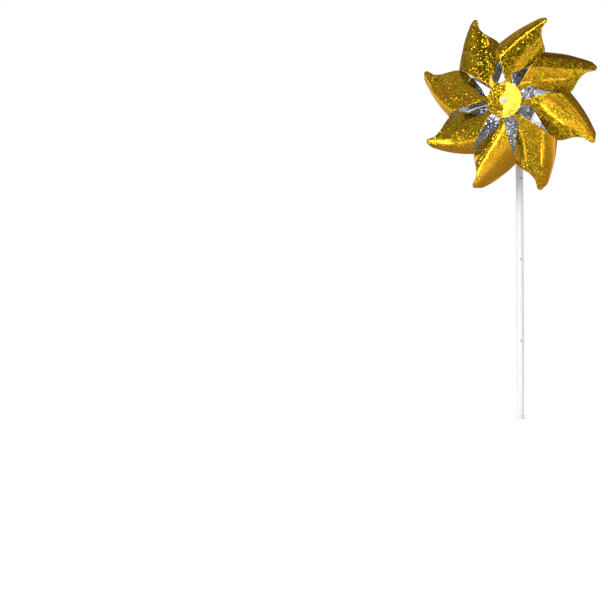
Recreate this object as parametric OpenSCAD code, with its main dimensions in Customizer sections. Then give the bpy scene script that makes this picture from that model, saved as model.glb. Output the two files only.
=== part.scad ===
// Pinwheel: eight curled arms of metallised film on a plastic stick.
// Millimetres. Z runs up the stick, the wheel faces -Y, origin at the bottom end of the stick.

/* [Stick] */
// Height of the axle above the bottom end
axle_height = 253; // [180:1:320]
// Stick above the axle
stick_above = 9; // [6:0.5:20]
// Outer radius of the stick
stick_radius = 3; // [2:0.1:5]
// Wall of the stick
stick_wall = 0.8; // [0.5:0.05:1.5]
// Outer radius of the bottom cap
cap_radius = 3.3; // [3.2:0.05:5]
// Height of the bottom cap
cap_height = 4.5; // [3:0.1:12]
// Distance between the dimples along the stick
dimple_pitch = 66; // [40:1:90]

/* [Wheel] */
// Radius of the circle through the tips
tip_radius = 77.5; // [60:0.5:90]
// Turn of the first arm from straight up, clockwise from the front
first_arm = 23.8; // [0:0.1:45]
// Thickness of the film
film = 0.2; // [0.1:0.05:0.4]
// Height of the ears in front of the sheet
ear_height = 24.8; // [18:0.2:32]
// Distance of the fold behind the tip point to the cone point
cone_reach = 25; // [15:1:50]
// Radius of the curl at the shoulder
curl_radius = 11.2; // [8:0.1:13]
// Turn of the curl before the flap straightens
curl_turn = 180; // [150:1:190]
// How far the fold bows outward between shoulder and tip
fold_bow = 3.2; // [0:0.1:5]
// Radius of the front disc
disc_radius = 14.2; // [10:0.1:18]
// Distance from the stick axis to the sheet
sheet_offset = 25; // [18:0.5:35]

/* [Axle] */
// Radius of the pin
pin_radius = 1.5; // [1:0.05:2.5]
// Radial running clearance of the wheel on the pin
running_gap = 0.08; // [0.03:0.01:0.1]
// Radius of the pin head
head_radius = 2.4; // [2:0.1:4]
// Radius of the loose bead
bead_radius = 3.6; // [3:0.1:6]

/* [Hidden] */
arms = 8;
arm_pitch = 360 / arms;
ear_pitch = film + 0.02;
ear_radius = 5;
neck_half = 2.7;
sheet_corner = 13;
bore = pin_radius + running_gap;
round_fn = 64;

ears_bottom = ear_height - 3.5 * ear_pitch - film / 2;
ears_top = ear_height + 3.5 * ear_pitch + film / 2;
washer_front = ears_top + 0.01;
disc_back = washer_front + 0.6;
head_back = disc_back + 0.3 + 0.12;

rear_washer_top = -film / 2;
rear_washer_back = rear_washer_top - 1;
sleeve_back = rear_washer_back - 12;
bush_front = -(sheet_offset - stick_radius - 1);
bead_back = bush_front + 0.3;
bead_length = sleeve_back - bead_back - 0.3;
pin_end = -(sheet_offset + stick_radius + 3);

// Fold line seen from the front: from the shoulder to the tip.
tip_at = polar(tip_radius, -1.5);
shoulder_at = polar(tip_radius * 0.6374, -33.5);
fold_way = unit(tip_at - shoulder_at);
fold_out = [-fold_way[1], fold_way[0]];

// All straight lines of the curl meet in the cone point.
cone = tip_at + cone_reach * fold_way;
hub_way = -unit(cone);
side_way = unit(shoulder_at - cone - ((shoulder_at - cone) * hub_way) * hub_way);
fold_turn = acos(unit(shoulder_at - cone) * hub_way);
curl_half = asin(curl_radius / norm(shoulder_at - cone));
curl_start = fold_turn - asin(tan(curl_half));

// Tight curl: a small circle on the unit sphere about the cone point.
first_p = flat_way(curl_start);
first_t = [-sin(curl_start) * hub_way[0] + cos(curl_start) * side_way[0],
           -sin(curl_start) * hub_way[1] + cos(curl_start) * side_way[1], 0];
first_n = cross(first_p, first_t);
curl_sign = first_n[2] < 0 ? -1 : 1;
first_axis = first_n + curl_sign / tan(curl_half) * first_p;
first_rate = norm(first_axis);
first_end = curl_start + curl_turn / first_rate;

// Gentle curl: the small circle that carries on to the ear over the hub.
second_p = turned(first_p, first_axis, curl_turn);
second_t = turned(first_t, first_axis, curl_turn);
ear_vector = [-cone[0], -cone[1], ear_height];
ear_way = unit(ear_vector);
second_raw = unit(cross(second_t, ear_way - second_p));
second_mid = second_raw * (second_raw * second_p);
second_axis = cross(second_raw, second_p - second_mid) * second_t < 0 ? -second_raw : second_raw;
second_radius = norm(second_p - second_mid);
second_raw_turn = atan2(cross(second_p - second_mid, ear_way - second_mid) * second_axis,
                        (second_p - second_mid) * (ear_way - second_mid));
second_turn = second_raw_turn < 0 ? second_raw_turn + 360 : second_raw_turn;
ear_turn = first_end + second_radius * second_turn;

// The hole of the ear in the flat sheet.
ear_flat = cone + norm(ear_vector) * (cos(ear_turn) * hub_way + sin(ear_turn) * side_way);
neck_way = unit(polar(93.2, -45.4) - ear_flat);
neck_side = [-neck_way[1], neck_way[0]] * ear_flat > 0 ? [neck_way[1], -neck_way[0]]
                                                       : [-neck_way[1], neck_way[0]];

// Film never settles quite evenly. Round the wheel the outer part of the arms leans about
// the axle in one swing (degrees, clockwise from the front) and is pulled in, by a share
// of its reach that swings twice. Both swings peak at the arm that swing_peak counts to.
lean_swing = 2.2;
pull_in = 0.04;
pull_swing = 0.02;
swing_peak = 2;
lean_start = 24;
lean_span = 30;

// Flat outline of one arm from the hub to the ear: distance and bearing of the
// slit edge, then distance and bearing of the other edge round tip and hip.
arm_rows = [
    [13, -22.5, 13, 22.5],
    [20, -24, 20, 21],
    [30, -26.5, 30, 18],
    [40, -29.5, 42, 12.5],
    [49, -32.8, 56, 4],
    [56, -35.6, 69, -4],
    [61, -37.9, 78, -5.6],
    [65.5, -40, 82.6, -4.9],
    [69.5, -41.9, 84.5, -6.3],
    [73, -43.3, 83.9, -9.2],
    [76.5, -44.4, 83.6, -12],
    [80, -45.3, 86, -15.7],
    [83, -45.9, 90.5, -18.4],
    [86, -46.4, 95.2, -20.7],
    [88.5, -46.8, 98, -24.4],
    [90.5, -47.1, 96.7, -29.8],
    [92, -47.3, 94.1, -36.4],
    [93.5, -47.5, 92.6, -42.8]];
neck_rows = [for (d = [12, 8, 3.5])
    [ear_flat + d * neck_way + neck_half * neck_side, ear_flat + d * neck_way - neck_half * neck_side]];
outline = concat([for (r = arm_rows) [polar(r[0], r[1]), polar(r[2], r[3])]], neck_rows);
steps = 2;
across = 8;
rows = concat([for (i = [0 : len(outline) - 2]) for (k = [0 : steps - 1]) spline_row(i, k / steps)],
              [outline[len(outline) - 1]]);

function unit(v) = v / norm(v);
function polar(r, a) = [r * sin(a), r * cos(a)];
function ease(x) = let (c = max(0, min(1, x))) c * c * (3 - 2 * c);
function turned(v, axis, a) = let (k = unit(axis))
    v * cos(a) + cross(k, v) * sin(a) + k * (k * v) * (1 - cos(a));
function flat_way(s) = [cos(s) * hub_way[0] + sin(s) * side_way[0],
                        cos(s) * hub_way[1] + sin(s) * side_way[1], 0];
function curled_way(s) =
    s <= curl_start ? flat_way(s) :
    s <= first_end ? turned(first_p, first_axis, (s - curl_start) * first_rate) :
    second_mid + turned(second_p - second_mid, second_axis, (s - first_end) / second_radius);
function sheet_turn(q) = let (d = q - cone, a = atan2(d * side_way, d * hub_way)) a < -115 ? a + 360 : a;

function bow(s, rho) = let (
    w = pow(sin(180 * max(0, min(1, s / ear_turn))), 2),
    t = (rho - cone_reach) / (norm(shoulder_at - cone) - cone_reach))
    w * fold_bow * sin(180 * max(0, min(1, 0.12 + 0.76 * max(0, min(1.35, t)))));

function bent(q, ear) = let (
    s = sheet_turn(q), rho = norm(q - cone), u = curled_way(s), b = bow(s, rho),
    x = cone[0] + rho * u[0] + b * fold_out[0], y = cone[1] + rho * u[1] + b * fold_out[1], z = rho * u[2],
    w = s > 0.7 * ear_turn ? ease((norm([x, y]) - ear_radius) / 10) : 1)
    [x, y, w * z + (1 - w) * ear];
function bent_normal(q) = let (
    s = sheet_turn(q), p = bent(q, ear_height), u = curled_way(s),
    n = curl_sign * unit(cross(u, curled_way(s + 0.4) - u)),
    w = s > 0.7 * ear_turn ? ease((norm([p[0], p[1]]) - ear_radius) / 10) : 1)
    unit(w * n + (1 - w) * [0, 0, -1]);

function arm_lean(i) = lean_swing * cos(arm_pitch * (i - swing_peak));
function arm_reach(i) = 1 - pull_in + pull_swing * cos(2 * arm_pitch * (i - swing_peak));
function settled(p, i) = let (
    w = ease((norm([p[0], p[1]]) - lean_start) / lean_span), a = arm_lean(i) * w, k = 1 - w + arm_reach(i) * w)
    [k * (p[0] * cos(a) + p[1] * sin(a)), k * (p[1] * cos(a) - p[0] * sin(a)), p[2]];

function spline(p0, p1, p2, p3, t) = 0.5 * (2 * p1 + (p2 - p0) * t + (2 * p0 - 5 * p1 + 4 * p2 - p3) * t * t
    + (3 * p1 - p0 - 3 * p2 + p3) * t * t * t);
function spline_row(i, t) = let (n = len(outline), a = max(0, i - 1), c = i + 1, d = min(n - 1, i + 2))
    [for (k = [0, 1]) spline(outline[a][k], outline[i][k], outline[c][k], outline[d][k], t)];

// Wheel frame: z towards the viewer, y up, z = 0 in the flat sheet.
module on_axle() {
    translate([0, -sheet_offset, axle_height]) rotate([90, 0, 0]) children();
}

module ring(outer, inner, from, to) {
    translate([0, 0, from]) difference() {
        cylinder(r = outer, h = to - from, $fn = round_fn);
        translate([0, 0, -1]) cylinder(r = inner, h = to - from + 2, $fn = round_fn);
    }
}

// Skin of one arm: both faces and the cut edge all round.
module arm_film(i, ear) {
    n = len(rows);
    m = across + 1;
    grid = [for (r = rows) for (j = [0 : across]) r[0] + (r[1] - r[0]) * j / across];
    mid = [for (q = grid) settled(bent(q, ear), i)];
    nor = [for (q = grid) bent_normal(q)];
    half = film / 2;
    front = [for (a = [0 : len(mid) - 1]) mid[a] + half * nor[a]];
    back = [for (a = [0 : len(mid) - 1]) mid[a] - half * nor[a]];
    k = n * m;
    faces = concat(
        [for (i = [0 : n - 2]) for (j = [0 : m - 2]) [i * m + j, i * m + m + j, i * m + j + 1]],
        [for (i = [0 : n - 2]) for (j = [0 : m - 2]) [i * m + m + j, i * m + m + j + 1, i * m + j + 1]],
        [for (i = [0 : n - 2]) for (j = [0 : m - 2]) [k + i * m + j, k + i * m + j + 1, k + i * m + m + j]],
        [for (i = [0 : n - 2]) for (j = [0 : m - 2])
            [k + i * m + m + j, k + i * m + j + 1, k + i * m + m + j + 1]],
        [for (i = [0 : n - 2]) [i * m, k + i * m, i * m + m]],
        [for (i = [0 : n - 2]) [k + i * m, k + i * m + m, i * m + m]],
        [for (i = [0 : n - 2]) [i * m + m - 1, i * m + 2 * m - 1, k + i * m + m - 1]],
        [for (i = [0 : n - 2]) [k + i * m + m - 1, i * m + 2 * m - 1, k + i * m + 2 * m - 1]],
        [for (j = [0 : m - 2]) [j, j + 1, k + j]],
        [for (j = [0 : m - 2]) [k + j, j + 1, k + j + 1]],
        [for (j = [0 : m - 2]) [(n - 1) * m + j, k + (n - 1) * m + j, (n - 1) * m + j + 1]],
        [for (j = [0 : m - 2])
            [k + (n - 1) * m + j, k + (n - 1) * m + j + 1, (n - 1) * m + j + 1]]);
    polyhedron(points = concat(front, back), faces = faces, convexity = 8);
}

module blade(i) {
    ear = ear_height + (i - 3.5) * ear_pitch;
    color([0.83, 0.62, 0.12]) on_axle() rotate([0, 0, -(first_arm + arm_pitch * i)]) difference() {
        union() {
            arm_film(i, ear);
            translate([0, 0, ear - film / 2]) cylinder(r = ear_radius, h = film, $fn = round_fn);
        }
        translate([0, 0, ear - 3]) cylinder(r = bore, h = 6, $fn = round_fn);
    }
}

module sheet_centre() {
    color([0.75, 0.8, 0.86]) on_axle() difference() {
        rotate([0, 0, -first_arm - arm_pitch / 2]) translate([0, 0, -film / 2]) rotate([0, 0, 90])
            cylinder(r = sheet_corner, h = film, $fn = arms);
        translate([0, 0, -1]) cylinder(r = bore, h = 2, $fn = round_fn);
    }
}

module front_disc() {
    color([0.85, 0.66, 0.15]) on_axle() ring(disc_radius, bore, disc_back, disc_back + 0.3);
}

module ear_washer() {
    color([0.93, 0.93, 0.94]) on_axle() ring(5.2, bore, washer_front, disc_back);
}

module spacer_tube() {
    color([0.93, 0.93, 0.94]) on_axle() ring(2.8, bore, film / 2, ears_bottom - 0.02);
}

module rear_washer() {
    color([0.93, 0.93, 0.94]) on_axle() ring(7, bore, rear_washer_back, rear_washer_top);
}

module hub_sleeve() {
    color([0.93, 0.93, 0.94]) on_axle() ring(2.8, bore, sleeve_back, rear_washer_back);
}

// Loose bead between the wheel and the stick.
module bead() {
    color([0.95, 0.95, 0.96]) on_axle() translate([0, 0, bead_back + bead_length / 2]) difference() {
        intersection() {
            sphere(r = bead_radius, $fn = round_fn);
            cube([20, 20, bead_length], center = true);
        }
        cylinder(r = bore, h = 20, center = true, $fn = round_fn);
    }
}

module axle_pin() {
    head_dome = 5;
    color([0.96, 0.96, 0.97]) on_axle() union() {
        translate([0, 0, pin_end]) cylinder(r = pin_radius, h = head_back - pin_end + 0.2, $fn = round_fn);
        intersection() {
            translate([0, 0, head_back]) cylinder(r = head_radius, h = 4, $fn = round_fn);
            translate([0, 0, head_back + 1.3 - head_dome]) sphere(r = head_dome, $fn = round_fn);
        }
    }
}

// Bush through both walls of the stick, with a collar at the front.
module axle_bush() {
    color([0.93, 0.93, 0.94]) on_axle() difference() {
        union() {
            translate([0, 0, bush_front - 1]) cylinder(r = 2.7, h = 1, $fn = round_fn);
            translate([0, 0, bush_front - 2 * stick_radius - 0.5]) cylinder(r = 1.98, h = 6.4, $fn = round_fn);
        }
        translate([0, 0, bush_front - 10]) cylinder(r = pin_radius + 0.01, h = 20, $fn = round_fn);
    }
}

module axle_cap() {
    color([0.93, 0.93, 0.94]) on_axle() difference() {
        intersection() {
            translate([0, 0, pin_end - 0.8]) cylinder(r = 2.7, h = 3.6, $fn = round_fn);
            translate([0, 0, pin_end + 3.4]) sphere(r = 4.6, $fn = round_fn);
        }
        translate([0, 0, pin_end]) cylinder(r = pin_radius + 0.01, h = 10, $fn = round_fn);
    }
}

module stick_tube() {
    color([0.94, 0.94, 0.95]) difference() {
        translate([0, 0, 1]) cylinder(r = stick_radius, h = axle_height + stick_above - 1, $fn = round_fn);
        cylinder(r = stick_radius - stick_wall, h = 400, $fn = round_fn);
        translate([0, 0, axle_height]) rotate([90, 0, 0]) cylinder(r = 2, h = 20, center = true, $fn = round_fn);
        for (k = [1 : 3]) rotate([0, 0, 30]) translate([0, -stick_radius, axle_height + 9 - dimple_pitch * k])
            rotate([90, 0, 0]) cylinder(r = 0.45, h = 0.8, center = true, $fn = 24);
    }
}

module bottom_cap() {
    color([0.9, 0.9, 0.91]) difference() {
        cylinder(r = cap_radius, h = cap_height, $fn = round_fn);
        translate([0, 0, 1]) cylinder(r = stick_radius + 0.01, h = cap_height, $fn = round_fn);
    }
}

module top_plug() {
    top = axle_height + stick_above;
    color([0.92, 0.92, 0.93]) union() {
        translate([0, 0, top - 5]) cylinder(r = stick_radius - stick_wall - 0.01, h = 5.1, $fn = round_fn);
        intersection() {
            translate([0, 0, top]) cylinder(r = stick_radius, h = 2, $fn = round_fn);
            translate([0, 0, top + 1.2 - 5]) sphere(r = 5, $fn = round_fn);
        }
    }
}

blade(0);  // blade_1
blade(1);  // blade_2
blade(2);  // blade_3
blade(3);  // blade_4
blade(4);  // blade_5
blade(5);  // blade_6
blade(6);  // blade_7
blade(7);  // blade_8
sheet_centre();
front_disc();
ear_washer();
spacer_tube();
rear_washer();
hub_sleeve();
bead();
axle_pin();
axle_bush();
axle_cap();
stick_tube();
bottom_cap();
top_plug();
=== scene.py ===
import math

import bpy
import numpy as np
from mathutils import Matrix, Vector, noise

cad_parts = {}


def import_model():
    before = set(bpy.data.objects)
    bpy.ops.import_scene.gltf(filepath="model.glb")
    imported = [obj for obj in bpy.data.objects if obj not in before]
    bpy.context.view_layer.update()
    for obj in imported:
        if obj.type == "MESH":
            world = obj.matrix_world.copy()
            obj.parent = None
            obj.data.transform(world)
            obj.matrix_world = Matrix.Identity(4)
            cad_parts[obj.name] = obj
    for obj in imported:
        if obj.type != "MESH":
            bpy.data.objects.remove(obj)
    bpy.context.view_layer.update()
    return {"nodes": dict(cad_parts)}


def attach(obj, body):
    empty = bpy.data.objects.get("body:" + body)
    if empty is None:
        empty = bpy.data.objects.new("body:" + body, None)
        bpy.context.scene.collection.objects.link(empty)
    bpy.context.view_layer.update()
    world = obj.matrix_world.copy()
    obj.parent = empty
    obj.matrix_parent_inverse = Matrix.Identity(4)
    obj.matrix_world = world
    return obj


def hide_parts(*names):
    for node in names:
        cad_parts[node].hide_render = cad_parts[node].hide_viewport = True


MM = 0.001

# ---------------------------------------------------------------- dimensions (mm, as in the CAD)
AXLE_HEIGHT = 253.0
SHEET_OFFSET = 25.0
STICK_RADIUS = 3.0
TIP_RADIUS = 77.5
FIRST_ARM = 23.8
ARMS = 8
FILM = 0.2
EAR_HEIGHT = 24.8
EAR_RADIUS = 5.0
EAR_PITCH = FILM + 0.02
NECK_HALF = 2.7
CONE_REACH = 25.0
CURL_RADIUS = 11.2
CURL_TURN = math.radians(180)
FOLD_BOW = 3.2
SHEET_CORNER = 13.0
BORE = 1.58
DISC_RADIUS = 14.2
DISC_BACK = EAR_HEIGHT + 3.5 * EAR_PITCH + FILM / 2 + 0.01 + 0.6
DISC_THICK = 0.3

# Flat arm: bearings of tip and shoulder, the shoulder's distance, and where the ear's neck points.
TIP_BEARING = -1.5
SHOULDER_SHARE = 0.6374
SHOULDER_BEARING = -33.5
NECK_POINT = (93.2, -45.4)
NECK_STEPS = (12, 8, 3.5)
BEHIND_CONE = math.radians(-115)
SMOOTH_TURN = math.radians(4.0)
EAR_BLEND = 10

# The open part of the sheet falls away a little from the viewer beyond the washer.
DOME_START = 13.0
DOME_SPAN = 12.0
DOME_SLOPE = 0.055
# How far from the fold each arm's film shows its plain face before the facets catch the light.
ARM_PLAIN = [0.15, 0.55, 0.35, 0.55, 0.75, 0.35, 0.50, 0.0]

# Slight tilt of each arm's open part: right, up (slopes).
SHEET_TILT = [(0.08, 0.03), (0.0, -0.12), (0.0, 0.0), (0.0, 0.0),
              (0.0, 0.0), (0.0, 0.0), (0.08, 0.0), (0.17, 0.03)]
# How strongly the facets show on the silver side of each arm.
SILVER_FLECK = [0.35, 0.6, 0.4, 0.95, 0.95, 0.95, 0.35, 0.35]

# The outer part of the arms leans about the axle in one swing round the wheel (deg) and is
# pulled in by a share of its reach that swings twice; both swings peak at arm SWING_PEAK.
LEAN_SWING = 2.2
PULL_IN = 0.04
PULL_SWING = 0.02
SWING_PEAK = 2
LEAN_START = 24.0
LEAN_SPAN = 30.0

# Long shallow waves of the film: height, where they begin and how soon they are full.
WAVE_HEIGHT = 0.45
WAVE_START = 16
WAVE_SPAN = 18

# Flat outline of one arm: distance and bearing of the slit edge, then of the other edge.
ARM_ROWS = [
    (13, -22.5, 13, 22.5), (20, -24, 20, 21), (30, -26.5, 30, 18), (40, -29.5, 42, 12.5),
    (49, -32.8, 56, 4), (56, -35.6, 69, -4), (61, -37.9, 78, -5.6), (65.5, -40, 82.6, -4.9),
    (69.5, -41.9, 84.5, -6.3), (73, -43.3, 83.9, -9.2), (76.5, -44.4, 83.6, -12),
    (80, -45.3, 86, -15.7), (83, -45.9, 90.5, -18.4), (86, -46.4, 95.2, -20.7), (88.5, -46.8, 98, -24.4),
    (90.5, -47.1, 96.7, -29.8), (92, -47.3, 94.1, -36.4), (93.5, -47.5, 92.6, -42.8)]

# ---------------------------------------------------------------- camera
CAM_PLACE = (0.35, -1.49, 0.03)
CAM_YAW = 19.8
CAM_PITCH = 2.4
CAM_LENS = 111.0


def unit(v):
    return v / np.linalg.norm(v)


def polar(r, a):
    t = math.radians(a)
    return np.array([r * math.sin(t), r * math.cos(t)])


def turned(v, axis, a):
    k = unit(axis)
    return v * math.cos(a) + np.cross(k, v) * math.sin(a) + k * np.dot(k, v) * (1 - math.cos(a))


def ease(x):
    c = np.clip(x, 0, 1)
    return c * c * (3 - 2 * c)


class Curl:
    """How one flat arm bends: straight lines through a cone point, a tight turn, then a gentle one."""

    def __init__(self):
        tip = polar(TIP_RADIUS, TIP_BEARING)
        shoulder = polar(TIP_RADIUS * SHOULDER_SHARE, SHOULDER_BEARING)
        way = unit(tip - shoulder)
        self.out = np.array([-way[1], way[0]])
        self.cone = tip + CONE_REACH * way
        self.hub = -unit(self.cone)
        s = shoulder - self.cone
        self.shoulder_far = np.linalg.norm(s)
        self.side = unit(s - np.dot(s, self.hub) * self.hub)
        fold = math.acos(np.dot(unit(s), self.hub))
        half = math.asin(CURL_RADIUS / self.shoulder_far)
        self.start = fold - math.asin(math.tan(half))
        p = self.flat_way(self.start)
        t = np.append(-math.sin(self.start) * self.hub + math.cos(self.start) * self.side, 0)
        n = np.cross(p, t)
        self.sign = -1 if n[2] < 0 else 1
        self.p1, self.axis1 = p, n + self.sign / math.tan(half) * p
        self.rate = np.linalg.norm(self.axis1)
        self.end = self.start + CURL_TURN / self.rate
        self.p2, t2 = turned(p, self.axis1, CURL_TURN), turned(t, self.axis1, CURL_TURN)
        vec = np.append(-self.cone, EAR_HEIGHT)
        way3 = unit(vec)
        raw = unit(np.cross(t2, way3 - self.p2))
        self.mid = raw * np.dot(raw, self.p2)
        self.axis2 = -raw if np.dot(np.cross(raw, self.p2 - self.mid), t2) < 0 else raw
        self.radius2 = np.linalg.norm(self.p2 - self.mid)
        a = math.atan2(np.dot(np.cross(self.p2 - self.mid, way3 - self.mid), self.axis2),
                       np.dot(self.p2 - self.mid, way3 - self.mid))
        self.ear = self.end + self.radius2 * (a + 2 * math.pi if a < 0 else a)
        self.ear_flat = self.cone + np.linalg.norm(vec) * (
            math.cos(self.ear) * self.hub + math.sin(self.ear) * self.side)
        self.table()

    def flat_way(self, s):
        return np.append(math.cos(s) * self.hub + math.sin(s) * self.side, 0)

    def way(self, s):
        if s <= self.start:
            return self.flat_way(s)
        if s <= self.end:
            return turned(self.p1, self.axis1, (s - self.start) * self.rate)
        return self.mid + turned(self.p2 - self.mid, self.axis2, (s - self.end) / self.radius2)

    def table(self):
        """The curve on the unit sphere, lightly smoothed where one bend passes into the next."""
        self.s = np.linspace(-1.6, self.ear + 1.2, 2400)
        u = np.array([self.way(x) for x in self.s])
        step = self.s[1] - self.s[0]
        width = max(1, int(SMOOTH_TURN / step))
        kernel = np.hanning(2 * width + 3)
        kernel /= kernel.sum()
        pad = len(kernel) // 2
        smooth = np.stack([np.convolve(np.pad(u[:, k], pad, mode="edge"), kernel, mode="valid")
                           for k in range(3)], 1)
        inner = ease((self.s - 0.02) / 0.1)[:, None] * ease((self.ear - 0.02 - self.s) / 0.1)[:, None]
        u = u * (1 - inner) + smooth * inner
        self.u = u / np.linalg.norm(u, axis=1)[:, None]
        n = np.cross(self.u, np.gradient(self.u, self.s, axis=0))
        self.n = self.sign * n / np.linalg.norm(n, axis=1)[:, None]

    def pick(self, table, s):
        return np.stack([np.interp(s, self.s, table[:, k]) for k in range(3)], -1)

    def turn_at(self, q):
        """How far round the cone point each flat point lies, from the hub's direction (radians)."""
        d = q - self.cone
        s = np.arctan2(d @ self.side, d @ self.hub)
        return np.where(s < BEHIND_CONE, s + 2 * math.pi, s)

    def bend(self, q, ear):
        """Flat points to bent ones and their normals, in the wheel frame (z to the viewer)."""
        rho = np.linalg.norm(q - self.cone, axis=-1)
        s = self.turn_at(q)
        u, n = self.pick(self.u, s), self.pick(self.n, s)
        t = np.clip((rho - CONE_REACH) / (self.shoulder_far - CONE_REACH), 0, 1.35)
        b = np.sin(np.pi * np.clip(s / self.ear, 0, 1)) ** 2 * FOLD_BOW * np.sin(
            np.pi * np.clip(0.12 + 0.76 * t, 0, 1))
        p = rho[..., None] * u
        p[..., :2] += self.cone + b[..., None] * self.out
        far = np.linalg.norm(p[..., :2], axis=-1)
        w = np.where(s > 0.7 * self.ear, ease((far - EAR_RADIUS) / EAR_BLEND), 1.0)
        p[..., 2] = w * p[..., 2] + (1 - w) * ear
        n = w[..., None] * n + (1 - w[..., None]) * np.array([0, 0, -1.0])
        return p, n / np.linalg.norm(n, axis=-1)[..., None]


def spline(points, steps):
    """A smooth curve through the points, with that many steps between each two."""
    pts = np.asarray(points, float)
    out = []
    for i in range(len(pts) - 1):
        a, b, c, d = pts[max(0, i - 1)], pts[i], pts[i + 1], pts[min(len(pts) - 1, i + 2)]
        for k in range(steps):
            t = k / steps
            out.append(0.5 * (2 * b + (c - a) * t + (2 * a - 5 * b + 4 * c - d) * t * t
                              + (3 * b - a - 3 * c + d) * t ** 3))
    out.append(pts[-1])
    return np.array(out)


def arm_grid(curl, steps=8, across=44):
    """The flat arm as rows of points from its slit edge to its other edge."""
    neck = unit(polar(*NECK_POINT) - curl.ear_flat)
    side = np.array([-neck[1], neck[0]])
    if np.dot(side, curl.ear_flat) > 0:
        side = -side
    left = [polar(r[0], r[1]) for r in ARM_ROWS]
    right = [polar(r[2], r[3]) for r in ARM_ROWS]
    for d in NECK_STEPS:
        left.append(curl.ear_flat + d * neck + NECK_HALF * side)
        right.append(curl.ear_flat + d * neck - NECK_HALF * side)
    left, right = spline(left, steps), spline(right, steps)
    t = np.linspace(0, 1, across + 1)[None, :, None]
    return left[:, None, :] * (1 - t) + right[:, None, :] * t


def dome(r):
    """Fall of the open sheet at a distance from the axle."""
    x = np.maximum(r - DOME_START, 0)
    return DOME_SLOPE * np.where(x < DOME_SPAN, x * x / (2 * DOME_SPAN), x - DOME_SPAN / 2)


def slope(p, index):
    """Fall of one arm's open part from its own slight tilt, right and up as seen from the front."""
    t = math.radians(FIRST_ARM + index * 360 / ARMS)
    x = p[..., 0] * math.cos(t) + p[..., 1] * math.sin(t)
    y = -p[..., 0] * math.sin(t) + p[..., 1] * math.cos(t)
    return SHEET_TILT[index][0] * x + SHEET_TILT[index][1] * y


def settled(p, index):
    """Lean and pull in the outer part of a bent arm about the axle, leaving its roots alone."""
    swing = math.radians(360 / ARMS * (index - SWING_PEAK))
    lean, reach = LEAN_SWING * math.cos(swing), PULL_SWING * math.cos(2 * swing) - PULL_IN
    far = np.linalg.norm(p[..., :2], axis=-1)
    w = ease((far - LEAN_START) / LEAN_SPAN)
    t, k = np.radians(lean * w), 1 + reach * w
    x = k * (p[..., 0] * np.cos(t) + p[..., 1] * np.sin(t))
    y = k * (p[..., 1] * np.cos(t) - p[..., 0] * np.sin(t))
    return np.stack([x, y, p[..., 2]], -1)


def to_world(p, turn_deg):
    """Wheel-frame millimetres, turned clockwise seen from the front, to metres in the row frame."""
    t = math.radians(turn_deg)
    x = p[..., 0] * math.cos(t) + p[..., 1] * math.sin(t)
    y = -p[..., 0] * math.sin(t) + p[..., 1] * math.cos(t)
    return np.stack([x, -(SHEET_OFFSET + p[..., 2]), AXLE_HEIGHT + y], -1) * MM


# ---------------------------------------------------------------- node helpers
def new_material(name):
    mat = bpy.data.materials.new(name)
    mat.use_nodes = True
    nt = mat.node_tree
    nt.nodes.clear()
    out = nt.nodes.new("ShaderNodeOutputMaterial")
    return mat, nt, out


def math_node(nt, op, a, b=None, c=None):
    n = nt.nodes.new("ShaderNodeMath")
    n.operation = op
    for i, v in enumerate((a, b, c)):
        if v is None:
            continue
        if isinstance(v, (int, float)):
            n.inputs[i].default_value = v
        else:
            nt.links.new(v, n.inputs[i])
    return n.outputs[0]


def vec_node(nt, op, a, b=None, scale=None):
    n = nt.nodes.new("ShaderNodeVectorMath")
    n.operation = op
    for i, v in enumerate((a, b)):
        if v is None:
            continue
        if isinstance(v, tuple):
            n.inputs[i].default_value = v
        else:
            nt.links.new(v, n.inputs[i])
    if scale is not None:
        if isinstance(scale, (int, float)):
            n.inputs["Scale"].default_value = scale
        else:
            nt.links.new(scale, n.inputs["Scale"])
    return n.outputs[0]


def ramp(nt, fac, stops, mode="LINEAR"):
    n = nt.nodes.new("ShaderNodeValToRGB")
    n.color_ramp.interpolation = mode
    el = n.color_ramp.elements
    while len(el) < len(stops):
        el.new(0.5)
    for e, (pos, col) in zip(el, stops):
        e.position = pos
        e.color = (*col, 1)
    nt.links.new(fac, n.inputs[0])
    return n.outputs[0]


# ---------------------------------------------------------------- materials
FLAKE_MM = 0.95
# How far the painted shade round each dimple on the stick reaches (m).
DIMPLE_SHADE_FADE = 0.0011
DIMPLE_BEARING = 30.0
DIMPLE_FIRST = 9.0
DIMPLE_PITCH = 66.0
DIMPLES = (1, 2, 3)

GOLD_PLAIN = (0.93, 0.40, 0.006)
GOLD_EDGE = (1.0, 0.70, 0.30)
GOLD_TINTS = [(0.0, (0.10, 0.045, 0.002)), (0.25, (0.32, 0.17, 0.003)), (0.45, (0.70, 0.52, 0.006)),
              (0.68, (1.0, 0.92, 0.03)), (0.86, (0.40, 0.38, 0.01)), (1.0, (1.0, 0.45, 0.005))]
SILVER_PLAIN = (0.86, 0.89, 0.96)
SILVER_EDGE = (1.0, 1.0, 1.0)
SILVER_TINTS = [(0.0, (0.62, 0.70, 0.82)), (0.25, (0.92, 0.96, 1.0)), (0.5, (0.95, 0.97, 1.0)),
                (0.75, (0.80, 0.76, 0.92)), (1.0, (0.72, 0.92, 0.92))]
HUB_COLOUR = (0.86, 0.86, 0.88)
STICK_COLOUR = (0.93, 0.93, 0.96)
CAP_COLOUR = (0.86, 0.86, 0.89)
PIN_COLOUR = (0.70, 0.68, 0.78)
ARM_COAT = 0.45
DISC_COAT = 1.0
SILVER_COAT = 0.5


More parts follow.
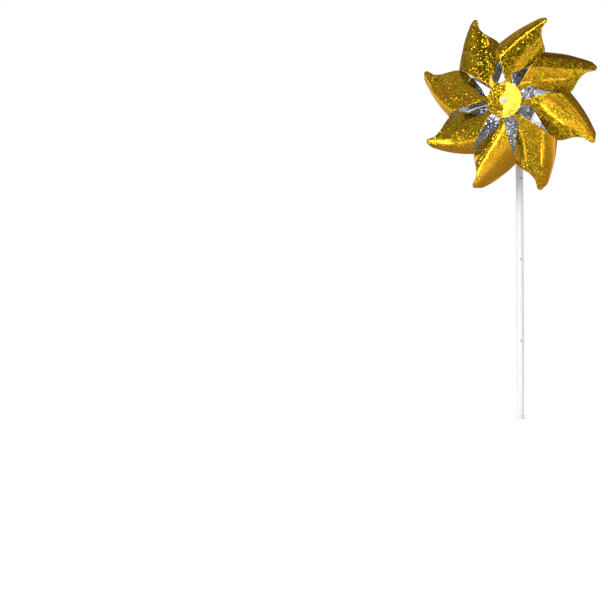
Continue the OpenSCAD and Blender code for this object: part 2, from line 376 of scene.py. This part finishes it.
def film_material(name, plain, edge, tints, tilt_size, spark, coat):
    """Metallised film: a smooth lacquered mirror under small facets, each tilted and tinted its own way."""
    mat, nt, out = new_material(name)
    uv = nt.nodes.new("ShaderNodeUVMap")
    uv.uv_map = "flat"
    zone = nt.nodes.new("ShaderNodeUVMap")
    zone.uv_map = "zone"
    zone_x = nt.nodes.new("ShaderNodeSeparateXYZ")
    nt.links.new(zone.outputs[0], zone_x.inputs[0])
    cells = nt.nodes.new("ShaderNodeTexVoronoi")
    cells.feature = "F1"
    cells.voronoi_dimensions = "2D"
    cells.inputs["Scale"].default_value = 100.0 / FLAKE_MM
    nt.links.new(uv.outputs[0], cells.inputs["Vector"])
    patch = nt.nodes.new("ShaderNodeTexNoise")
    patch.noise_dimensions = "2D"
    patch.inputs["Scale"].default_value = 9.0
    patch.inputs["Detail"].default_value = 2.0
    nt.links.new(uv.outputs[0], patch.inputs["Vector"])
    sep = nt.nodes.new("ShaderNodeSeparateColor")
    nt.links.new(cells.outputs["Color"], sep.inputs[0])
    colour = ramp(nt, sep.outputs[0], tints)
    geo = nt.nodes.new("ShaderNodeNewGeometry")
    tilt = vec_node(nt, "SUBTRACT", cells.outputs["Color"], (0.5, 0.5, 0.5))
    amount = math_node(nt, "MULTIPLY_ADD", sep.outputs[1], tilt_size * 0.8, tilt_size * 0.2)
    tilt = vec_node(nt, "SCALE", tilt, scale=amount)
    normal = vec_node(nt, "NORMALIZE", vec_node(nt, "ADD", geo.outputs["Normal"], tilt))
    smooth = nt.nodes.new("ShaderNodeBsdfPrincipled")
    smooth.inputs["Base Color"].default_value = (*plain, 1)
    smooth.inputs["Metallic"].default_value = 1.0
    smooth.inputs["Roughness"].default_value = 0.09
    smooth.inputs["Specular Tint"].default_value = (*edge, 1)
    smooth.inputs["Coat Weight"].default_value = coat
    smooth.inputs["Coat Roughness"].default_value = 0.05
    flake = nt.nodes.new("ShaderNodeBsdfPrincipled")
    flake.inputs["Metallic"].default_value = 1.0
    flake.inputs["Roughness"].default_value = 0.16
    nt.links.new(colour, flake.inputs["Base Color"])
    nt.links.new(normal, flake.inputs["Normal"])
    mix = nt.nodes.new("ShaderNodeMixShader")
    share = math_node(nt, "MULTIPLY", zone_x.outputs[0], ramp(
        nt, patch.outputs[0], [(0.36, (spark * 0.55,) * 3), (0.6, (spark,) * 3)]))
    nt.links.new(share, mix.inputs[0])
    nt.links.new(smooth.outputs[0], mix.inputs[1])
    nt.links.new(flake.outputs[0], mix.inputs[2])
    nt.links.new(mix.outputs[0], out.inputs[0])
    return mat


def gold_material(name, coat):
    return film_material(name, GOLD_PLAIN, GOLD_EDGE, GOLD_TINTS, tilt_size=0.75, spark=0.74, coat=coat)


def silver_material(name, coat):
    return film_material(name, SILVER_PLAIN, SILVER_EDGE, SILVER_TINTS, tilt_size=0.75, spark=0.85, coat=coat)


def plastic_material(name, colour, rough, bump, shaded_dimples=()):
    """Moulded plastic with a fine grain, and a darker spot of painted shade at each dimple."""
    mat, nt, out = new_material(name)
    co = nt.nodes.new("ShaderNodeTexCoord")
    grain = nt.nodes.new("ShaderNodeTexNoise")
    grain.inputs["Scale"].default_value = 900.0
    grain.inputs["Detail"].default_value = 3.0
    nt.links.new(co.outputs["Object"], grain.inputs["Vector"])
    wide = nt.nodes.new("ShaderNodeTexNoise")
    wide.inputs["Scale"].default_value = 35.0
    nt.links.new(co.outputs["Object"], wide.inputs["Vector"])
    base = ramp(nt, wide.outputs[0], [(0.3, tuple(c * 0.97 for c in colour)), (0.7, colour)])
    # Painted shade: the colour darkens towards the centre of each dimple.
    for dimple_centre in shaded_dimples:
        gap = nt.nodes.new("ShaderNodeVectorMath")
        gap.operation = "DISTANCE"
        gap.inputs[1].default_value = dimple_centre
        nt.links.new(co.outputs["Object"], gap.inputs[0])
        shade = ramp(nt, math_node(nt, "MULTIPLY", gap.outputs["Value"], 1 / DIMPLE_SHADE_FADE),
                     [(0.45, (0.42, 0.40, 0.44)), (1.0, (1, 1, 1))])
        base = vec_node(nt, "MULTIPLY", base, shade)
    b = nt.nodes.new("ShaderNodeBump")
    b.inputs["Strength"].default_value = bump
    b.inputs["Distance"].default_value = 0.0002
    nt.links.new(grain.outputs[0], b.inputs["Height"])
    sh = nt.nodes.new("ShaderNodeBsdfPrincipled")
    sh.inputs["Roughness"].default_value = rough
    sh.inputs["IOR"].default_value = 1.49
    sh.inputs["Subsurface Weight"].default_value = 0.08
    sh.inputs["Subsurface Scale"].default_value = 0.002
    nt.links.new(base, sh.inputs["Base Color"])
    nt.links.new(b.outputs[0], sh.inputs["Normal"])
    nt.links.new(sh.outputs[0], out.inputs[0])
    return mat


# ---------------------------------------------------------------- meshes
def mesh_object(name, verts, faces, uvs, slots, mats, smooth=True, zone=None):
    me = bpy.data.meshes.new(name)
    me.from_pydata([tuple(v) for v in verts], [], [tuple(f) for f in faces])
    layer = me.uv_layers.new(name="flat")
    loop_vert = np.empty(len(me.loops), np.int32)
    me.loops.foreach_get("vertex_index", loop_vert)
    layer.data.foreach_set("uv", np.asarray(uvs, np.float32)[loop_vert].ravel())
    zone = np.full(len(verts), 0.9) if zone is None else zone
    fleck = me.uv_layers.new(name="zone")
    fleck.data.foreach_set("uv", np.stack([zone, zone], 1).astype(np.float32)[loop_vert].ravel())
    for m in mats:
        me.materials.append(m)
    me.polygons.foreach_set("material_index", np.asarray(slots, np.int32))
    me.polygons.foreach_set("use_smooth", [smooth] * len(me.polygons))
    me.update()
    me.validate()
    ob = bpy.data.objects.new(name, me)
    bpy.context.scene.collection.objects.link(ob)
    return ob


def ripple(q, seed):
    """Film never lies quite true: long shallow waves along its own flat length."""
    vals = [noise.noise(Vector((x * 0.028 + 7.1 * seed, y * 0.028, 3.3 * seed)))
            + 0.4 * noise.noise(Vector((x * 0.07, y * 0.07 + 5.7 * seed, 1.9 * seed)))
            for x, y in q.reshape(-1, 2)]
    return np.array(vals).reshape(q.shape[:-1])


def ear_level(index):
    return EAR_HEIGHT + (index - 3.5) * EAR_PITCH


def film_shape(index, curl, grid):
    """Middle surface of a bent arm, its silver-side normals and how much its facets show."""
    p, n = curl.bend(grid, ear_level(index))
    turn_at = curl.turn_at(grid)
    open_part = 1 - ease((turn_at - curl.start + 0.25) / 0.3)
    far = np.linalg.norm(p[..., :2], axis=-1)
    p[..., 2] -= open_part * (dome(far) + ease((far - 10) / 10) * slope(p, index))
    zone = 0.12 + 0.88 * ease((turn_at - curl.start) / (curl.ear - curl.start) * 1.9 - ARM_PLAIN[index])
    p = settled(p, index)
    loose = ease((np.linalg.norm(p[..., :2], axis=-1) - WAVE_START) / WAVE_SPAN)
    p = p + n * (WAVE_HEIGHT * loose * ripple(grid, index + 1))[..., None]
    nn = np.cross(np.gradient(p, axis=0), np.gradient(p, axis=1))
    nn /= np.maximum(np.linalg.norm(nn, axis=-1), 1e-9)[..., None]
    nn *= np.sign(np.sum(nn * n, axis=-1))[..., None]
    return p, nn, zone


def border(rows, cols):
    """The outermost points of a grid, in order round it."""
    return [r * cols for r in range(rows)] + [(rows - 1) * cols + c for c in range(1, cols)] + [
        r * cols + cols - 1 for r in range(rows - 2, -1, -1)] + [c for c in range(cols - 2, 0, -1)]


def film_arm(index, gold, silver):
    """One arm as a closed film: silver on the side that faces the viewer where it lies open."""
    curl = Curl()
    grid = arm_grid(curl)
    rows, cols = grid.shape[:2]
    p, nn, zone = film_shape(index, curl, grid)
    turn = FIRST_ARM + index * 360 / ARMS
    top = to_world(p + nn * FILM / 2, turn).reshape(-1, 3)
    low = to_world(p - nn * FILM / 2, turn).reshape(-1, 3)
    verts = np.concatenate([top, low])
    k = rows * cols
    uv = (grid.reshape(-1, 2) + np.array([37.0, 91.0]) * (index + 1)) * 0.01
    i, j = np.meshgrid(np.arange(rows - 1), np.arange(cols - 1), indexing="ij")
    a = (i * cols + j).ravel()
    inner = np.stack([a, a + 1, a + cols + 1, a + cols], 1)
    outer = inner[:, ::-1] + k
    ring = border(rows, cols)
    edge = [(ring[m], ring[(m + 1) % len(ring)], ring[(m + 1) % len(ring)] + k, ring[m] + k)
            for m in range(len(ring))]
    faces = np.concatenate([inner, outer, np.array(edge)])
    # The silver side faces along the normal, so the winding is turned over where it does not.
    mid = len(inner) // 2
    corner = verts[faces[mid]]
    way = np.cross(corner[1] - corner[0], corner[2] - corner[0])
    if np.dot(way, top[inner[mid][0]] - low[inner[mid][0]]) < 0:
        faces = faces[:, ::-1]
    slots = [1] * len(inner) + [0] * len(outer) + [0] * len(edge)
    zone = np.concatenate([np.full(zone.size, SILVER_FLECK[index]), zone.ravel()])
    return mesh_object(f"arm_film_{index + 1}", verts, faces, np.concatenate([uv, uv]), slots,
                       [gold, silver], zone=zone)


def ear_tab(index, gold, silver):
    """The punched end of the arm, clamped on the axle."""
    ear = ear_level(index)
    n = 48
    verts, uvs = [], []
    for z in (ear - FILM / 2, ear + FILM / 2):
        for r in (BORE, EAR_RADIUS):
            for k in range(n):
                t = 2 * math.pi * k / n
                verts.append(np.array([r * math.cos(t), r * math.sin(t), z]))
                uvs.append((r * math.cos(t) * 0.01, r * math.sin(t) * 0.01))
    world = to_world(np.array(verts), 0)
    faces, slots = [], []
    for k in range(n):
        m = (k + 1) % n
        faces += [(k, m, n + m, n + k), (2 * n + k, 3 * n + k, 3 * n + m, 2 * n + m),
                  (n + k, n + m, 3 * n + m, 3 * n + k), (k, 2 * n + k, 2 * n + m, m)]
        slots += [1, 0, 0, 0]
    return mesh_object(f"ear_tab_{index + 1}", world, faces, uvs, slots, [gold, silver], smooth=False)


def centre_film(gold, silver):
    """The flat middle of the sheet: silver to the viewer, gold behind."""
    rim, n = 8, 48
    verts, uvs = [], []
    corner = math.radians(FIRST_ARM + 180 / ARMS)
    for z in (-FILM / 2, FILM / 2):
        for k in range(n):
            t = 2 * math.pi * k / n
            off = (t + corner) % (2 * math.pi / rim) - math.pi / rim
            outer = SHEET_CORNER * math.cos(math.pi / rim) / math.cos(off)
            for r in (BORE, outer):
                verts.append(np.array([r * math.sin(t), r * math.cos(t), z]))
                uvs.append((2 + r * math.sin(t) * 0.01, 1 + r * math.cos(t) * 0.01))
    world = to_world(np.array(verts), 0)
    faces, slots = [], []
    for k in range(n):
        a, b, c, d = 2 * k, 2 * k + 1, 2 * ((k + 1) % n) + 1, 2 * ((k + 1) % n)
        e = 2 * n
        faces += [(a, b, c, d), (a + e, d + e, c + e, b + e), (b, b + e, c + e, c), (a, d, d + e, a + e)]
        slots += [0, 1, 0, 0]
    return mesh_object("sheet_centre_film", world, faces, uvs, slots, [gold, silver], smooth=False)


def disc_film(gold):
    """The front disc: its left half slopes back from a shallow crease that splits the reflection."""
    rings, n = 40, 160
    verts, uvs = [], []
    for z in (0, 1):
        for k in range(rings + 1):
            r = BORE + (DISC_RADIUS - BORE) * k / rings
            for m in range(n):
                t = 2 * math.pi * m / n
                x, y = r * math.cos(t), r * math.sin(t)
                side = 1.4 - x - 0.22 * max(0, -y)
                drop = 0.075 * max(0.0, side) * ease((r - 3) / 6)
                verts.append(np.array([x, y, DISC_BACK + DISC_THICK * z - drop]))
                uvs.append(((x + 300) * 0.01, (y + 200) * 0.01))
    world = to_world(np.array(verts), 0)
    faces = []
    half = (rings + 1) * n
    for k in range(rings):
        for m in range(n):
            o = (m + 1) % n
            faces.append((k * n + m, k * n + o, (k + 1) * n + o, (k + 1) * n + m))
            faces.append((half + k * n + m, half + (k + 1) * n + m,
                          half + (k + 1) * n + o, half + k * n + o))
    for m in range(n):
        o = (m + 1) % n
        faces.append((rings * n + m, rings * n + o, half + rings * n + o, half + rings * n + m))
        faces.append((m, half + m, half + o, o))
    return mesh_object("front_disc_film", world, faces, uvs, [0] * len(faces), [gold])


# ---------------------------------------------------------------- stage
FLOOR_HALF = 6.0
WHEEL_CENTRE = Vector((0, -0.04, AXLE_HEIGHT * MM))
ROOM_STRENGTH = 0.72


def camera():
    cam = bpy.data.cameras.new("camera")
    cam.lens = CAM_LENS
    cam.sensor_width = 36
    cam.clip_start = 0.01
    cam.clip_end = 50
    ob = bpy.data.objects.new("camera", cam)
    ob.location = CAM_PLACE
    ob.rotation_euler = (math.radians(90 + CAM_PITCH), 0, math.radians(CAM_YAW))
    bpy.context.scene.collection.objects.link(ob)
    bpy.context.scene.camera = ob


def floor():
    """A grey floor with a painted glow: it emits whiter light the flatter it is seen, to meet the white
    backdrop.
    """
    me = bpy.data.meshes.new("floor")
    half = FLOOR_HALF
    me.from_pydata([(-half, -half, 0), (half, -half, 0), (half, half, 0), (-half, half, 0)], [],
                   [(0, 1, 2, 3)])
    ob = bpy.data.objects.new("floor", me)
    bpy.context.scene.collection.objects.link(ob)
    mat, nt, out = new_material("floor_look")
    sh = nt.nodes.new("ShaderNodeBsdfPrincipled")
    sh.inputs["Base Color"].default_value = (0.40, 0.40, 0.40, 1)
    sh.inputs["Roughness"].default_value = 0.9
    sh.inputs["Specular IOR Level"].default_value = 0.0
    layer = nt.nodes.new("ShaderNodeLayerWeight")
    layer.inputs["Blend"].default_value = 0.5
    # Painted glow: the emission strength grows the flatter the floor is seen.
    painted_glow = ramp(nt, layer.outputs["Facing"], [
        (0.55, (0, 0, 0)), (0.72, (0.26, 0.26, 0.26)), (0.885, (0.80, 0.80, 0.80)),
        (0.94, (1, 1, 1))])
    sh.inputs["Emission Color"].default_value = (1, 1, 1, 1)
    nt.links.new(painted_glow, sh.inputs["Emission Strength"])
    nt.links.new(sh.outputs[0], out.inputs[0])
    me.materials.append(mat)


def toward(az, el):
    """Direction from the wheel: az 0 is straight to the front, positive to the viewer's right."""
    a, e = math.radians(az), math.radians(el)
    return Vector((math.sin(a) * math.cos(e), -math.cos(a) * math.cos(e), math.sin(e)))


def softbox(name, az, el, wide, high, bright, roll=0.0, far=1.25, glossy=True, seen_from=(0, 0)):
    """A panel seen under the given angles from a place on the wheel (mm right, mm up from the axle)."""
    light = bpy.data.lights.new(name, "AREA")
    light.shape = "RECTANGLE"
    light.size = 2 * far * math.tan(math.radians(wide / 2))
    light.size_y = 2 * far * math.tan(math.radians(high / 2))
    light.energy = bright * math.pi * light.size * light.size_y
    ob = bpy.data.objects.new(name, light)
    way = toward(az, el)
    ob.location = WHEEL_CENTRE + MM * Vector((seen_from[0], 0, seen_from[1])) + far * way
    q = (-way).to_track_quat("-Z", "Y")
    ob.rotation_euler = (q @ Matrix.Rotation(math.radians(roll), 3, "Z").to_quaternion()).to_euler()
    ob.visible_camera = False
    ob.visible_glossy = glossy
    bpy.context.scene.collection.objects.link(ob)


def grey(v):
    return (v, v, v * 1.02)


def world():
    """A dim studio all round, brighter at the left, with a white backdrop where the camera looks."""
    w = bpy.data.worlds.new("studio")
    bpy.context.scene.world = w
    w.use_nodes = True
    nt = w.node_tree
    nt.nodes.clear()
    out = nt.nodes.new("ShaderNodeOutputWorld")
    path = nt.nodes.new("ShaderNodeLightPath")
    seen = nt.nodes.new("ShaderNodeBackground")
    seen.inputs[0].default_value = (1, 1, 1, 1)
    seen.inputs[1].default_value = 1.0
    co = nt.nodes.new("ShaderNodeTexCoord")
    sep = nt.nodes.new("ShaderNodeSeparateXYZ")
    nt.links.new(co.outputs["Generated"], sep.inputs[0])
    across = ramp(nt, math_node(nt, "MULTIPLY_ADD", sep.outputs[0], 0.5, 0.5),
                  [(0.0, grey(0.40)), (0.12, grey(0.40)), (0.25, grey(0.46)), (0.42, grey(0.56)),
                   (0.51, grey(0.17)), (0.6, grey(0.13)), (0.75, grey(0.24)), (1.0, grey(0.34))])
    room = nt.nodes.new("ShaderNodeBackground")
    nt.links.new(across, room.inputs[0])
    room.inputs[1].default_value = ROOM_STRENGTH
    mix = nt.nodes.new("ShaderNodeMixShader")
    nt.links.new(path.outputs["Is Camera Ray"], mix.inputs[0])
    nt.links.new(room.outputs[0], mix.inputs[1])
    nt.links.new(seen.outputs[0], mix.inputs[2])
    nt.links.new(mix.outputs[0], out.inputs[0])


def lights():
    """Panels that the film mirrors, then the ones without gloss that fill in from above and the sides."""
    softbox("box_centre", -8, 18, 22, 22, 4.2)
    softbox("strip_left", -60, -2, 3, 22, 6.0, far=0.5, seen_from=(0, -25))
    softbox("strip_upper", 16, 38, 5, 22, 6.0, roll=-40, seen_from=(10, 45))
    softbox("box_low_right", 25, -23, 6, 3, 3.0, far=0.5, seen_from=(15, 15))
    softbox("box_low", -10, -37, 5, 4, 6.0, far=0.34, seen_from=(38, -12))
    softbox("side_left", -84, 11, 6, 7, 3.5, far=0.8, seen_from=(-16, -34))
    softbox("side_low", -54, -24, 4, 5, 3.0, far=0.42, seen_from=(14, -32))
    softbox("glow_low", 2, -31, 22, 11, 1.0, far=0.36, seen_from=(48, -16))
    softbox("glow_right", 47, 14, 22, 26, 0.7, seen_from=(25, 45))
    softbox("top", 0, 85, 60, 50, 1.6, glossy=False)
    softbox("fill", -25, 25, 60, 50, 1.6, far=1.6, glossy=False)
    softbox("fill_right", 60, 10, 40, 50, 1.1, far=1.6, glossy=False)


def look_plain(node, mat):
    ob = frame["nodes"][node]
    for slot in ob.material_slots:
        slot.material = mat


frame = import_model()
scene = bpy.context.scene
scene.view_settings.view_transform = "Standard"

camera()
floor()
world()
lights()

gold = gold_material("film_gold_look", ARM_COAT)
silver = silver_material("film_silver_look", SILVER_COAT)
for arm in range(ARMS):
    film, tab = film_arm(arm, gold, silver), ear_tab(arm, gold, silver)
    tab.parent = film
    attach(film, "wheel")
    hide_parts(f"blade_{arm + 1}")
disc = disc_film(gold_material("disc_gold_look", DISC_COAT))
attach(disc, "wheel")
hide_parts("front_disc")

centre = centre_film(gold, silver)
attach(centre, "wheel")
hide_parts("sheet_centre")

white = plastic_material("hub_plastic_look", HUB_COLOUR, rough=0.22, bump=0.15)
# Dimples on the stick, each darkened by a spot of painted shade.
turn = math.radians(DIMPLE_BEARING)
dimples = [(STICK_RADIUS * MM * math.sin(turn), -STICK_RADIUS * MM * math.cos(turn),
            (AXLE_HEIGHT + DIMPLE_FIRST - DIMPLE_PITCH * k) * MM) for k in DIMPLES]
stick = plastic_material("stick_plastic_look", STICK_COLOUR, rough=0.32, bump=0.2, shaded_dimples=dimples)
capped = plastic_material("cap_plastic_look", CAP_COLOUR, rough=0.35, bump=0.25)
for n in ("ear_washer", "spacer_tube", "rear_washer", "hub_sleeve", "bead", "axle_bush", "axle_cap"):
    look_plain(n, white)
for n in ("stick_tube", "top_plug"):
    look_plain(n, stick)
look_plain("bottom_cap", capped)
look_plain("axle_pin", plastic_material("pin_look", PIN_COLOUR, rough=0.15, bump=0.1))
